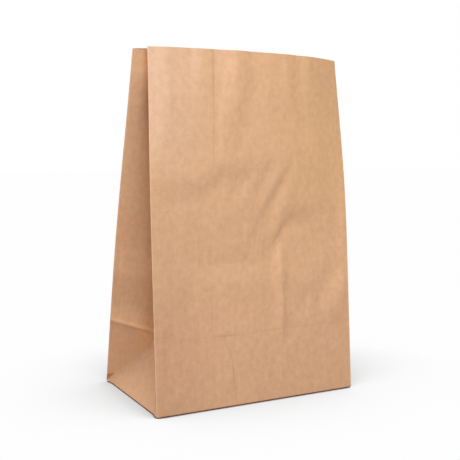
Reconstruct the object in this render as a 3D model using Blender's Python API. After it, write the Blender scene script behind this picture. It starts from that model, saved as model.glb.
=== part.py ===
"""Brown paper lunch bag, standing open: one sheet of kraft paper made into a tube with two
side gussets and a glued block bottom. All sizes are in metres, +Z is up, the front faces -Y
and the origin is the middle of the bottom, at the height of the surface it stands on."""

import functools
import math

import bmesh
import bpy
from mathutils import Matrix, Vector

# The sheet
WIDTH = 0.180  # front and rear panels, side to side
DEPTH = 0.115  # front to rear at the bottom, and the paper's width across one gusset
HEIGHT = 0.280  # front panel, along the paper
REAR_LIP = 0.0095  # the rear panel is cut this much taller
PAPER = 0.00012  # one ply

# Glued laps
FLAP_OVERLAP = 0.012  # each bottom flap reaches this far past the middle
SEAM_WIDTH = 0.012  # lengthwise lap on the rear panel
SEAM_OFFSET = 0.030  # middle of that lap, from the middle of the panel

# How far the bag has closed again towards its mouth
MOUTH_GAP_LEFT = 0.030  # front fold to rear fold
MOUTH_GAP_RIGHT = 0.036
FRONT_LEAN_LEFT = 0.0164  # the front folds' lean towards the rear
FRONT_LEAN_RIGHT = 0.0284
BEND_LENGTH = 0.022  # an upright fold bends over about this length
FRONT_BOW = 0.0118  # the front panel's middle stands out by this much at the mouth
FRONT_BOW_SKEW = 0.0020  # more so towards the right
FRONT_BOW_FULLNESS = 0.0026  # and rounder at the folds than an even arc
REAR_BOW = 0.0110
BOW_GROWTH = 1.6  # the power of the height with which a bow grows from the straight bottom
GUSSET_BELLY = 0.0025  # each half gusset bows by this much between its folds

# Marks left from lying folded flat
CREASE_DEPTH = 0.0012  # the rear panel's crease across, pressed in
CREASE_SHOULDER = 0.008  # width over which the paper falls away from a crease
FLUTE_DEPTH = 0.0012  # shallow upright hollows that run down from the mouth
FLUTE_WIDTH = 0.010  # half the width of one

# Mesh
FACET = 0.0096
LEAST_FACET = 0.002  # cuts that need not be exact keep this far from those that must
SNAP = 0.0008  # a slanting cut takes a corner that is this near
COLUMN_STEP = 0.002  # heights up a column are summed in steps of this length
SHARP_ANGLE = math.radians(20.0)
KRAFT = (0.47, 0.29, 0.165, 1.0)

HALF_WIDTH = WIDTH / 2
HALF_DEPTH = DEPTH / 2  # also the height of the crease across and of the gusset's triangle
REAR_HEIGHT = HEIGHT + REAR_LIP
BASE_LEVEL = 2 * PAPER  # two bottom flaps lie under the base
FLAP_LENGTH = HALF_DEPTH + FLAP_OVERLAP
NEAR = 1e-6
OUTWARD = {"front": -1.0, "rear": 1.0}
SIDES = {"left": -1.0, "right": 1.0}


class UprightFold:
    """A fold between a panel and a gusset, by its lean inward at each length up the paper.

    The slope changes by slope_ratio about a bend, whose place is a share of the height."""

    def __init__(self, top_lean, slope_ratio, bend_share, length):
        self.slope_ratio = slope_ratio
        self.bend_height = bend_share * HEIGHT
        self.scale = top_lean / self.bent(length)

    def bent(self, along):
        turned = softplus((along - self.bend_height) / BEND_LENGTH)
        turned -= softplus(-self.bend_height / BEND_LENGTH)
        return along + (self.slope_ratio - 1.0) * BEND_LENGTH * turned

    def lean(self, along):
        return self.scale * self.bent(along)


def softplus(value):
    """A rounded bend from slope 0 to slope 1 at zero."""
    return max(value, 0.0) + math.log1p(math.exp(-abs(value)))


def rear_lean(mouth_gap, front_lean):
    """The rear fold leans as far as the gap at the mouth leaves it."""
    return DEPTH - mouth_gap - front_lean


FOLDS = {
    ("front", "left"): UprightFold(FRONT_LEAN_LEFT, 0.35, 0.077, HEIGHT),
    ("front", "right"): UprightFold(FRONT_LEAN_RIGHT, 2.43, 0.607, HEIGHT),
    ("rear", "left"): UprightFold(
        rear_lean(MOUTH_GAP_LEFT, FRONT_LEAN_LEFT), 1.27, 0.4375, REAR_HEIGHT
    ),
    ("rear", "right"): UprightFold(
        rear_lean(MOUTH_GAP_RIGHT, FRONT_LEAN_RIGHT), 1.30, 0.536, REAR_HEIGHT
    ),
}


class Crease:
    """A straight crease on a panel, from start to end, each (across, up) from the middle of
    the panel's bottom edge as shares of the half width and of the height. It stands out by
    rise, or is pressed in where that is negative, as a multiple of the usual depth, and falls
    away over spread, as a multiple of the usual shoulder."""

    def __init__(self, panel, start, end, rise, spread=1.0):
        self.panel = panel
        self.start = Vector((start[0] * HALF_WIDTH, start[1] * HEIGHT))
        self.end = Vector((end[0] * HALF_WIDTH, end[1] * HEIGHT))
        self.rise = rise * CREASE_DEPTH
        self.shoulder = spread * CREASE_SHOULDER
        self.length = (self.end - self.start).length
        self.direction = (self.end - self.start) / self.length
        self.normal = Vector((-self.direction.y, self.direction.x))

    def relief(self, place):
        offset = place - self.start
        beyond = max(-offset.dot(self.direction), offset.dot(self.direction) - self.length, 0.0)
        across = abs(offset.dot(self.normal))
        return self.rise * math.exp(-(across + 2.0 * beyond) / self.shoulder)

    def reaches(self, place, margin):
        run = (place - self.start).dot(self.direction)
        return -margin < run < self.length + margin


FOLD_SHARE = HALF_DEPTH / HEIGHT
GUSSET_REACH = 1.0 - DEPTH / WIDTH  # where the tucked-in gussets end on a panel
CREASES = (
    # Across the rear panel, where the bottom was folded up, and its gentler print in front
    Crease("rear", (-1.0, FOLD_SHARE), (1.0, FOLD_SHARE), -1.0),
    Crease("front", (-0.72, FOLD_SHARE), (-0.19, 0.190), -0.50),
    Crease("front", (-0.19, 0.190), (0.14, 0.197), -0.50),
    Crease("front", (0.14, 0.197), (0.95, FOLD_SHARE), -0.50),
    # The edges of the tucked-in gussets
    Crease("front", (-0.46, 0.40), (-0.46, 0.22), 0.42),
    Crease("front", (0.23, 0.47), (0.23, 0.18), 0.75),
    Crease("rear", (-GUSSET_REACH, 0.95), (-GUSSET_REACH, 0.24), 0.42),
    Crease("rear", (GUSSET_REACH, 0.95), (GUSSET_REACH, 0.24), 0.42),
    # Handling creases
    Crease("front", (0.34, 0.665), (-0.16, 0.442), -0.75, 1.125),
    Crease("front", (-0.83, 0.630), (-0.41, 0.664), -0.58, 1.25),
    Crease("front", (-0.41, 0.664), (0.14, 0.663), -0.58, 1.25),
    Crease("front", (-0.57, 0.393), (0.13, 0.378), 0.42, 1.125),
    Crease("front", (0.93, 0.345), (0.72, 0.253), 0.50, 0.75),
    Crease("front", (-0.35, 0.177), (-0.25, 0.110), -0.50, 0.75),
    Crease("front", (-0.25, 0.110), (-0.23, 0.010), -0.33, 0.75),
    Crease("rear", (-0.55, 0.80), (0.10, 0.62), -0.67, 1.25),
    Crease("rear", (0.62, 0.55), (0.25, 0.40), 0.50, 1.125),
)


class Flute:
    """A shallow upright hollow in a panel, across from the middle as a share of the half width.
    It runs down from the mouth over reach, a share of the height. Its depth and its width are
    multiples of the usual ones."""

    def __init__(self, panel, across, reach, depth, width):
        self.panel = panel
        self.across = across * HALF_WIDTH
        self.reach = reach * HEIGHT
        self.depth = depth * FLUTE_DEPTH
        self.half_width = width * FLUTE_WIDTH

    def relief(self, place):
        side = (place.x - self.across) / self.half_width
        down = max(HEIGHT - place.y, 0.0) / self.reach
        return -self.depth * math.exp(-side * side - down * down)


FLUTES = (
    Flute("front", -0.41, 0.34, 1.0, 1.1),
    Flute("front", -0.08, 0.24, 0.83, 1.0),
    Flute("front", 0.43, 0.24, 0.92, 1.0),
    Flute("rear", -0.30, 0.40, 1.0, 1.4),
    Flute("rear", 0.22, 0.30, 1.0, 1.2),
)


def panel_relief(panel, place):
    """How far the creases and flutes move a place on a panel outward."""
    shapes = [shape for shape in CREASES + FLUTES if shape.panel == panel]
    rim = min(place.y / CREASE_SHOULDER, 1.0)
    edge = min((HALF_WIDTH - abs(place.x)) / CREASE_SHOULDER, 1.0)
    return rim * edge * sum(shape.relief(place) for shape in shapes)


def bow(panel, share, along):
    """How far a panel stands out between its folds. share runs from -1, left, to 1, right."""
    middle = REAR_BOW
    if panel == "front":
        middle = FRONT_BOW + FRONT_BOW_SKEW * share + FRONT_BOW_FULLNESS * share * share
    return middle * (1.0 - share * share) * (along / HEIGHT) ** BOW_GROWTH


def panel_lean(panel, share, along):
    left = FOLDS[panel, "left"].lean(along) * (1.0 - share) / 2
    right = FOLDS[panel, "right"].lean(along) * (1.0 + share) / 2
    return left + right - bow(panel, share, along)


def pull_in(panel, along):
    """What each upright fold moves inward because its panel bows and twists."""
    arc = 8.0 / 3.0 * bow(panel, 0.0, along) ** 2
    twist = FOLDS[panel, "left"].lean(along) - FOLDS[panel, "right"].lean(along)
    return (arc + twist * twist / 2) / WIDTH / 2


@functools.lru_cache(maxsize=None)
def column_heights(panel, share):
    """Heights up one column of a panel, which keeps its length as it leans."""
    heights = [0.0]
    count = math.ceil(REAR_HEIGHT / COLUMN_STEP) + 2
    for step in range(count):
        low = panel_lean(panel, share, step * COLUMN_STEP)
        high = panel_lean(panel, share, (step + 1) * COLUMN_STEP)
        heights.append(heights[-1] + math.sqrt(COLUMN_STEP**2 - (high - low) ** 2))
    return heights


def panel_height(panel, share, along):
    heights = column_heights(panel, round(share, 5))
    step = min(int(along / COLUMN_STEP), len(heights) - 2)
    part = along / COLUMN_STEP - step
    return heights[step] * (1.0 - part) + heights[step + 1] * part


def panel_point(panel, share, along):
    """Where a place on the front or rear panel lies on the standing bag."""
    x = share * (HALF_WIDTH - pull_in(panel, along))
    relief = panel_relief(panel, Vector((share * HALF_WIDTH, along)))
    y = OUTWARD[panel] * (HALF_DEPTH - panel_lean(panel, share, along) + relief)
    return Vector((x, y, panel_height(panel, share, along)))


def fold_point(panel, side, along):
    return panel_point(panel, SIDES[side], along)


@functools.lru_cache(maxsize=None)
def gusset_apex(side):
    """Tip of the triangle that the block bottom folds from a gusset: half the depth away from
    the middle of the side's bottom edge, and as near as can be to that from both folds."""
    front = fold_point("front", side, HALF_DEPTH)
    rear = fold_point("rear", side, HALF_DEPTH)
    heights = [(fold.y**2 + fold.z**2) / (2 * fold.z) for fold in (front, rear)]
    height = min(sum(heights) / 2, HALF_DEPTH)
    inward = math.sqrt(HALF_DEPTH**2 - height**2)
    return Vector((SIDES[side] * (HALF_WIDTH - inward), 0.0, height))


def free_centre_fold(side, along):
    """The gusset's inner fold, half the depth away from both of its outer folds, in plan."""
    front = fold_point("front", side, along)
    rear = fold_point("rear", side, along)
    gap = (rear.y - front.y) / 2
    inward = math.sqrt(max(HALF_DEPTH**2 - gap**2, 0.0))
    middle = (front + rear) / 2
    return Vector((middle.x - SIDES[side] * inward, middle.y, 0.0))


@functools.lru_cache(maxsize=None)
def centre_fold_climb(side):
    """Height gained for each length of the inner fold, above the apex."""
    length = HEIGHT + REAR_LIP / 2 - HALF_DEPTH
    run = free_centre_fold(side, HEIGHT + REAR_LIP / 2) - free_centre_fold(side, HALF_DEPTH)
    return math.sqrt(max(1.0 - (run.length / length) ** 2, 0.0))


def centre_fold(side, along):
    apex = gusset_apex(side)
    above = along - HALF_DEPTH
    start = free_centre_fold(side, HALF_DEPTH)
    settle = math.exp(-above / BEND_LENGTH)
    point = free_centre_fold(side, along)
    point.x += (apex.x - start.x) * settle
    point.y += (apex.y - start.y) * settle
    point.z = apex.z + above * centre_fold_climb(side)
    return point


def gusset_point(side, across, along):
    """Where a place on a gusset lies. across runs from front fold to rear fold through 0."""
    panel = "front" if across < 0.0 else "rear"
    inward = 1.0 - abs(across) / HALF_DEPTH
    up = along / HALF_DEPTH
    foot = Vector((SIDES[side] * HALF_WIDTH, 0.0, 0.0))
    apex = gusset_apex(side)
    if up <= inward:
        return foot + Vector((0.0, across, 0.0)) + up * (apex - foot)
    edge = fold_point(panel, side, along)
    if up < 1.0:
        corner = Vector((foot.x, OUTWARD[panel] * HALF_DEPTH, 0.0))
        crease_end = fold_point(panel, side, HALF_DEPTH)
        chord = corner + up * (crease_end - corner)
        return chord + inward * (apex - crease_end) + (1.0 - inward / up) * (edge - chord)
    centre = centre_fold(side, along)
    return edge + inward * (centre - edge) + gusset_belly(centre - edge, inward, along)


def gusset_belly(across, inward, along):
    """A half gusset's bow towards the rear, none at its folds or at the crease below it."""
    normal = Vector((-across.y, across.x, 0.0)).normalized()
    if normal.y < 0.0:
        normal = -normal
    grown = 1.0 - math.exp(-(along - HALF_DEPTH) / HALF_DEPTH)
    return normal * GUSSET_BELLY * 4.0 * inward * (1.0 - inward) * grown


def paper_length(place):
    """Length up the paper of a place on the square box: the cut slants up to the rear."""
    if place.z <= HALF_DEPTH:
        return place.z
    top = HEIGHT + REAR_LIP * (place.y + HALF_DEPTH) / DEPTH
    return HALF_DEPTH + (place.z - HALF_DEPTH) * (top - HALF_DEPTH) / (HEIGHT - HALF_DEPTH)


def folded(place):
    """Moves a place on the square box to where its paper lies on the standing bag."""
    along = paper_length(place)
    if HALF_DEPTH - abs(place.y) < NEAR:
        panel = "front" if place.y < 0.0 else "rear"
        return panel_point(panel, place.x / HALF_WIDTH, along)
    if HALF_WIDTH - abs(place.x) < NEAR:
        side = "left" if place.x < 0.0 else "right"
        return gusset_point(side, place.y, along)
    return place.copy()


def stations(low, high, exact, wanted=()):
    """Places to cut between low and high: at each exact one, at each wanted one that is clear
    of the others, and between them so that no facet is much longer than it should be."""
    marks = sorted({low, high, *exact})
    for place in wanted:
        if min(abs(place - mark) for mark in marks) > LEAST_FACET:
            marks = sorted([*marks, place])
    cuts = []
    for start, end in zip(marks, marks[1:]):
        count = max(1, round((end - start) / FACET))
        cuts += [start + (end - start) * step / count for step in range(1, count + 1)]
    return cuts[:-1]


def cut(mesh, faces, point, normal, snap=NEAR):
    """Cuts the given faces along a plane, which leaves their shape alone."""
    around = {*faces}
    for face in faces:
        around.update(face.edges)
        around.update(face.verts)
    bmesh.ops.bisect_plane(mesh, geom=list(around), dist=snap, plane_co=point, plane_no=normal)


def on_base(face):
    return abs(face.normal.z) > 0.5


def faces_where(mesh, test):
    mesh.normal_update()
    return [face for face in mesh.faces if test(face, face.calc_center_median())]


def square_box():
    """The open box that the sheet would make if nothing leaned, cut along every fold."""
    mesh = bmesh.new()
    scale = Matrix.Diagonal((WIDTH, DEPTH, HEIGHT, 1.0))
    lift = Matrix.Translation((0.0, 0.0, HEIGHT / 2))
    bmesh.ops.create_cube(mesh, size=1.0, matrix=lift @ scale)
    top = faces_where(mesh, lambda face, centre: centre.z > HEIGHT - NEAR)
    bmesh.ops.delete(mesh, geom=top, context="FACES")
    rows = stations(-HALF_DEPTH, HALF_DEPTH, [-FLAP_OVERLAP, 0.0, FLAP_OVERLAP])
    for y in rows:
        cut(mesh, mesh.faces[:], (0.0, y, 0.0), (0.0, 1.0, 0.0))
    seam = [SEAM_OFFSET - SEAM_WIDTH / 2, SEAM_OFFSET + SEAM_WIDTH / 2]
    tuck = HALF_WIDTH - FLAP_LENGTH
    mitred = [side * (HALF_WIDTH - HALF_DEPTH - y) for y in rows for side in (-1.0, 1.0)]
    printed = [crease.start.x for crease in CREASES if abs(crease.direction.x) < NEAR]
    for x in stations(-HALF_WIDTH, HALF_WIDTH, [-tuck, tuck, *seam], printed + mitred):
        cut(mesh, mesh.faces[:], (x, 0.0, 0.0), (1.0, 0.0, 0.0))
    slanted = [HALF_DEPTH + y for y in rows if y < 0.0]
    for z in stations(0.0, HEIGHT, [*slanted, HALF_DEPTH]):
        cut(mesh, mesh.faces[:], (0.0, 0.0, z), (0.0, 0.0, 1.0))
    cut_gusset_triangles(mesh)
    cut_flap_ends(mesh)
    cut_creases(mesh)
    return mesh


def cut_gusset_triangles(mesh):
    """The folds at 45 degrees up each gusset from its bottom corners to the apex."""
    for towards in (-1.0, 1.0):
        side = faces_where(
            mesh,
            lambda face, centre: abs(face.normal.x) > 0.5
            and centre.z < HALF_DEPTH
            and centre.y * towards < 0.0,
        )
        cut(mesh, side, (0.0, -towards * HALF_DEPTH, 0.0), (0.0, towards, -1.0))


def cut_flap_ends(mesh):
    """The mitred ends of both bottom flaps, at 45 degrees from the corners."""
    for towards in (-1.0, 1.0):
        for side in SIDES.values():
            base = faces_where(
                mesh,
                lambda face, centre: on_base(face)
                and centre.y * towards > -FLAP_OVERLAP
                and centre.x * side > 0.0,
            )
            corner = (side * HALF_WIDTH, towards * HALF_DEPTH, 0.0)
            cut(mesh, base, corner, (side, -towards, 0.0))


def cut_creases(mesh):
    """Lays mesh edges along the slanting creases, so that each is a crisp line."""
    for crease in CREASES:
        if abs(crease.direction.x) < NEAR or abs(crease.direction.y) < NEAR:
            continue
        outward = OUTWARD[crease.panel]
        panel = faces_where(
            mesh,
            lambda face, centre: face.normal.y * outward > 0.5
            and crease.reaches(Vector((centre.x, centre.z)), 0.0),
        )
        point = (crease.start.x, 0.0, crease.start.y)
        cut(mesh, panel, point, (crease.normal.x, 0.0, crease.normal.y), SNAP)


def pushed_out(mesh, faces, step):
    """Extrudes faces by a step, with walls round their edge and nothing left behind."""
    made = bmesh.ops.extrude_face_region(mesh, geom=faces)
    moved = [item for item in made["geom"] if isinstance(item, bmesh.types.BMVert)]
    bmesh.ops.delete(mesh, geom=faces, context="FACES")
    bmesh.ops.translate(mesh, vec=step, verts=moved)


def in_flap(centre, towards):
    """Whether a place on the base lies in the flap folded in from the front (-1) or rear (1)."""
    depth_in = HALF_DEPTH - centre.y * towards
    return depth_in < FLAP_LENGTH and HALF_WIDTH - abs(centre.x) > depth_in


def under_base(face, centre):
    return face.normal.z < -0.5 and centre.z < BASE_LEVEL + NEAR


def inside_base(face, centre):
    return face.normal.z > 0.5 and centre.z < BASE_LEVEL + 2 * PAPER


def fold_bottom_flaps(mesh):
    """Underneath lies the rear flap, one ply down, and over it the front flap. Inside, the
    gussets' tucked-in ends stop short of the middle, where the flaps' own plies show."""
    down = (0.0, 0.0, -PAPER)
    for flaps in ((-1.0, 1.0), (-1.0,)):
        lower = faces_where(
            mesh,
            lambda face, centre: under_base(face, centre)
            and any(in_flap(centre, towards) for towards in flaps),
        )
        pushed_out(mesh, lower, down)
    for rear_limit in (HALF_DEPTH, -FLAP_OVERLAP):
        middle = faces_where(
            mesh,
            lambda face, centre: inside_base(face, centre)
            and abs(centre.x) < HALF_WIDTH - FLAP_LENGTH
            and centre.y < rear_limit,
        )
        pushed_out(mesh, middle, down)


def in_seam(face, centre):
    return face.normal.y > 0.5 and abs(centre.x - SEAM_OFFSET) < SEAM_WIDTH / 2


def raise_lap_seam(mesh, seam_tag):
    """Raises the lengthwise lap by one ply on the outside of the rear panel."""
    outer = faces_where(mesh, lambda face, centre: face[seam_tag] == 1 and face.normal.y > 0.5)
    pushed_out(mesh, outer, (0.0, PAPER, 0.0))


def folded_sheet():
    """The whole bag as one closed body: outer face, inner face, cut edge and glued laps."""
    mesh = square_box()
    seam_tag = mesh.faces.layers.int.new("seam")
    for face in faces_where(mesh, in_seam):
        face[seam_tag] = 1
    for vertex in mesh.verts:
        vertex.co = folded(vertex.co) + Vector((0.0, 0.0, BASE_LEVEL))
    bmesh.ops.solidify(mesh, geom=mesh.faces[:], thickness=PAPER)
    raise_lap_seam(mesh, seam_tag)
    fold_bottom_flaps(mesh)
    bmesh.ops.triangulate(mesh, faces=mesh.faces[:])
    return mesh


def kraft_material():
    material = bpy.data.materials.new("kraft_paper")
    material.use_nodes = True
    shader = material.node_tree.nodes["Principled BSDF"]
    shader.inputs["Base Color"].default_value = KRAFT
    shader.inputs["Roughness"].default_value = 0.75
    shader.inputs["Metallic"].default_value = 0.0
    return material


def make_paper_bag():
    mesh = folded_sheet()
    data = bpy.data.meshes.new("paper_bag")
    mesh.to_mesh(data)
    mesh.free()
    data.shade_smooth()
    data.set_sharp_from_angle(angle=SHARP_ANGLE)
    data.materials.append(kraft_material())
    bag = bpy.data.objects.new("paper_bag", data)
    bpy.context.scene.collection.objects.link(bag)
    return bag


def main():
    for item in list(bpy.data.objects):
        bpy.data.objects.remove(item, do_unlink=True)
    make_paper_bag()


main()
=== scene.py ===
"""Paper lunch bag: the finished sheet, its kraft paper and the stage it stands on.

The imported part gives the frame. The bag is folded again here from the same sizes, with
its fine creases, rounded folds and paper, and stands for the part's own node. Metres, +Z up."""

import functools
import math

import bmesh
import bpy
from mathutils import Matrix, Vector, noise


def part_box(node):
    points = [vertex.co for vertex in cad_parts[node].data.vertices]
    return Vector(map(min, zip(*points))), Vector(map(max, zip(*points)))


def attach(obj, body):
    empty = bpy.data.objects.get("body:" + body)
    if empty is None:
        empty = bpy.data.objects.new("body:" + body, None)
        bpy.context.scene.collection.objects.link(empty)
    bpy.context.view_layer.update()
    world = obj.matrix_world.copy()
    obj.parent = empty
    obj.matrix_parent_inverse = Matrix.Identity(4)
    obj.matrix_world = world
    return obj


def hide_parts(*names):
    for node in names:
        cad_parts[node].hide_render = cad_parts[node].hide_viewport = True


bl_info = {
    "name": "Paper Lunch Bag",
    "version": (1, 0, 0),
    "blender": (4, 5, 0),
    "location": "3D View > Sidebar > Paper Bag",
    "description": "Folds a gusseted kraft paper bag and sets it on a plain studio stage",
    "category": "Add Mesh",
}

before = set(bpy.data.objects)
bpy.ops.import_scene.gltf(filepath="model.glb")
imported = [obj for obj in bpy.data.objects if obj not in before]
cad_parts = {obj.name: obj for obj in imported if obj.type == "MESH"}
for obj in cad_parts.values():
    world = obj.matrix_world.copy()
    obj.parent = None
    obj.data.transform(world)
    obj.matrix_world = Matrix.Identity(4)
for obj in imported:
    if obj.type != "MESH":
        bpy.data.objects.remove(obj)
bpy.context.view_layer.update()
NODE = "paper_bag"
LOW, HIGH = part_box(NODE)

OUTWARD = {"front": -1.0, "rear": 1.0}
SIDES = {"left": -1.0, "right": 1.0}
NEAR = 1e-6
COLUMN_STEP = 0.002
BEND_LENGTH = 0.022
BOW_START = 0.100
BOW_END = 0.270
FOOT_ROWS = 4
FOOT_REACH = 0.008
TUCK_EASE = 0.012
MARK_EASE = 0.006
GUSSET_MARK_EASE = 0.003
RIPPLE_HEIGHT = 0.00010
RIPPLES_ACROSS = 120.0
RIPPLES_UP = 50.0
RIPPLE_SEED = 7.0
SHARP_ANGLE = math.radians(32.0)

# Each upright fold: how much steeper it leans above its bend, and the bend's height
FOLD_BENDS = {
    ("front", "left"): (1.0, 0.0215),
    ("front", "right"): (2.285, 0.1745),
    ("rear", "left"): (1.302, 0.1077),
    ("rear", "right"): (1.30, 0.150),
}


def length_property(name, description, default):
    return bpy.props.FloatProperty(
        name=name, description=description, default=default, unit="LENGTH", precision=5
    )


def colour_property(name, description, default):
    return bpy.props.FloatVectorProperty(
        name=name, description=description, default=default, subtype="COLOR", min=0.0, max=1.0
    )


class SheetSettings(bpy.types.PropertyGroup):
    """The cut sheet and its glued laps."""

    width: length_property("Width", "Front and rear panels, side to side", HIGH[0] - LOW[0])
    depth: length_property("Depth", "Front to rear, and the paper across one gusset", -2 * LOW[1])
    height: length_property("Height", "Front panel, along the paper", 0.2794)
    rear_lip: length_property("Rear lip", "How much taller the rear panel is cut", 0.0099)
    ply: length_property("Ply", "Thickness of the paper", 0.00012)
    flap_overlap: length_property("Flap overlap", "Bottom flaps' reach past the middle", 0.012)
    seam_width: length_property("Seam width", "Lengthwise glued lap", 0.012)
    seam_offset: length_property("Seam offset", "Lap's middle from the panel's middle", 0.030)
    fold_radius: length_property("Fold radius", "Outer radius of the bottom folds", 0.0004)
    foot_lift: length_property("Foot lift", "How far the bottom folds stand off the floor", 0.0006)
    foot_tuck: length_property("Foot tuck", "How far the gussets' bottom folds draw in", 0.0013)


class StanceSettings(bpy.types.PropertyGroup):
    """How far the standing bag has closed again towards its mouth."""

    gap_left: length_property("Left gap", "Front fold to rear fold at the mouth", 0.0306)
    gap_right: length_property("Right gap", "Front fold to rear fold at the mouth", 0.036)
    lean_left: length_property("Left lean", "Front left fold's lean at the mouth", 0.0148)
    lean_right: length_property("Right lean", "Front right fold's lean at the mouth", 0.0290)
    front_bow: length_property("Front bow", "Front panel's bow at the mouth", 0.0121)
    front_skew: length_property("Bow skew", "More bow towards the right", 0.0020)
    front_fullness: length_property("Bow fullness", "Rounder bow towards the folds", 0.0028)
    rear_bow: length_property("Rear bow", "Rear panel's bow at the mouth", 0.0110)
    belly: length_property("Gusset belly", "Bow of each half gusset", 0.0025)


class PaperSettings(bpy.types.PropertyGroup):
    """The kraft paper's colours."""

    kraft: colour_property("Kraft", "Unbleached paper", (0.572, 0.334, 0.185))
    # Lighter fibres; also the lighter folds, from wear and a painted highlight
    fibre_and_fold_highlight: colour_property("Fibre", "Lighter fibres and worn folds", (0.74, 0.50, 0.33))
    shive: colour_property("Shive", "Darker specks of bark and fibre", (0.33, 0.17, 0.085))


class StageSettings(bpy.types.PropertyGroup):
    """Floor and camera."""

    floor: colour_property("Floor", "Pale floor, as the camera sees it", (0.99, 0.99, 0.99))
    shadow: colour_property("Shadow", "The floor's deepest shade beside the bag", (0.10, 0.07, 0.06))
    # Painted shadow where the bag meets the floor: the dark line under the bottom folds
    contact_shadow: colour_property("Contact", "The floor under the bottom folds", (0.120, 0.050, 0.032))
    bounce: colour_property("Bounce", "The floor, as it lights the bag from below", (0.30, 0.30, 0.30))
    lens: bpy.props.FloatProperty(name="Lens", description="Focal length in mm", default=64.2)
    camera_turn: bpy.props.FloatProperty(
        name="Camera turn",
        description="Camera's place round the bag, from straight in front",
        default=math.radians(-27.33),
        subtype="ANGLE",
    )
    camera_distance: length_property("Camera distance", "From the middle, in plan", 0.6970)
    camera_height: length_property("Camera height", "Above the floor", 0.2052)
    camera_yaw: bpy.props.FloatProperty(
        name="Camera yaw",
        description="Turn away from the bag's middle",
        default=math.radians(-0.20),
        subtype="ANGLE",
    )
    camera_pitch: bpy.props.FloatProperty(
        name="Camera pitch", description="Tilt down", default=math.radians(-5.77), subtype="ANGLE"
    )


def softplus(value):
    """A rounded bend from slope 0 to slope 1 at zero."""
    return max(value, 0.0) + math.log1p(math.exp(-abs(value)))


def smooth(value):
    """0 to 1 with level ends."""
    value = max(0.0, min(1.0, value))
    return value * value * (3.0 - 2.0 * value)


class UprightFold:
    """A fold between a panel and a gusset, by its lean inward at each length up the paper."""

    def __init__(self, top_lean, slope_ratio, bend_height, length):
        self.slope_ratio = slope_ratio
        self.bend_height = bend_height
        self.scale = top_lean / self.bent(length)

    def bent(self, along):
        turned = softplus((along - self.bend_height) / BEND_LENGTH)
        turned -= softplus(-self.bend_height / BEND_LENGTH)
        return along + (self.slope_ratio - 1.0) * BEND_LENGTH * turned

    def lean(self, along):
        return self.scale * self.bent(along)


class Mark:
    """A crease, ridge or soft hollow left in the paper, along a line of places on a panel.

    Places are (across, up) in metres from the middle of the panel's bottom edge. The ridge is
    round, the edge falls in a straight slope on both sides, and the step is high to the left
    of the line and low to its right. Each of them dies out towards the line's ends."""

    FADE = 0.35
    REACH = 3.5
    STEP_SLOPE = 1.2
    EDGE_SLOPE = 1.6

    def __init__(self, places, width, ridge=0.0, step=0.0, edge=0.0):
        self.places = [Vector(place) for place in places]
        self.width = width
        self.ridge = ridge
        self.step = step
        self.edge = edge
        reach = Vector((1.0, 1.0)) * self.REACH * width
        self.low = Vector((min(p.x for p in self.places), min(p.y for p in self.places))) - reach
        self.high = Vector((max(p.x for p in self.places), max(p.y for p in self.places))) + reach
        self.runs = list(zip(self.places, self.places[1:]))
        self.total = sum((end - start).length for start, end in self.runs)

    def nearest(self, place):
        """Distance from the line, signed to the left, and the length along it."""
        best = None
        walked = 0.0
        for start, end in self.runs:
            run = end - start
            length = run.length
            share = max(0.0, min(1.0, (place - start).dot(run) / (length * length)))
            offset = place - (start + run * share)
            if best is None or offset.length < abs(best[0]):
                side = run.x * offset.y - run.y * offset.x
                best = (math.copysign(offset.length, side), walked + share * length)
            walked += length
        return best

    def relief(self, place):
        if not (self.low.x < place.x < self.high.x and self.low.y < place.y < self.high.y):
            return 0.0
        across, along = self.nearest(place)
        share = across / self.width
        rise = self.ridge * math.exp(-share * share)
        rise += self.step * self.STEP_SLOPE * share * math.exp(-share * share / 2)
        rise += self.edge * math.exp(-self.EDGE_SLOPE * abs(share))
        ends = min(along, self.total - along) / (self.FADE * self.total)
        return rise * smooth(ends)


# How wide and how high a mark is, as it looks in the paper
FINE = 0.003
NARROW = 0.005
BROAD = 0.009
FAINT = 0.0003
LIGHT = 0.0006
CLEAR = 0.0009
STRONG = 0.0015

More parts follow.
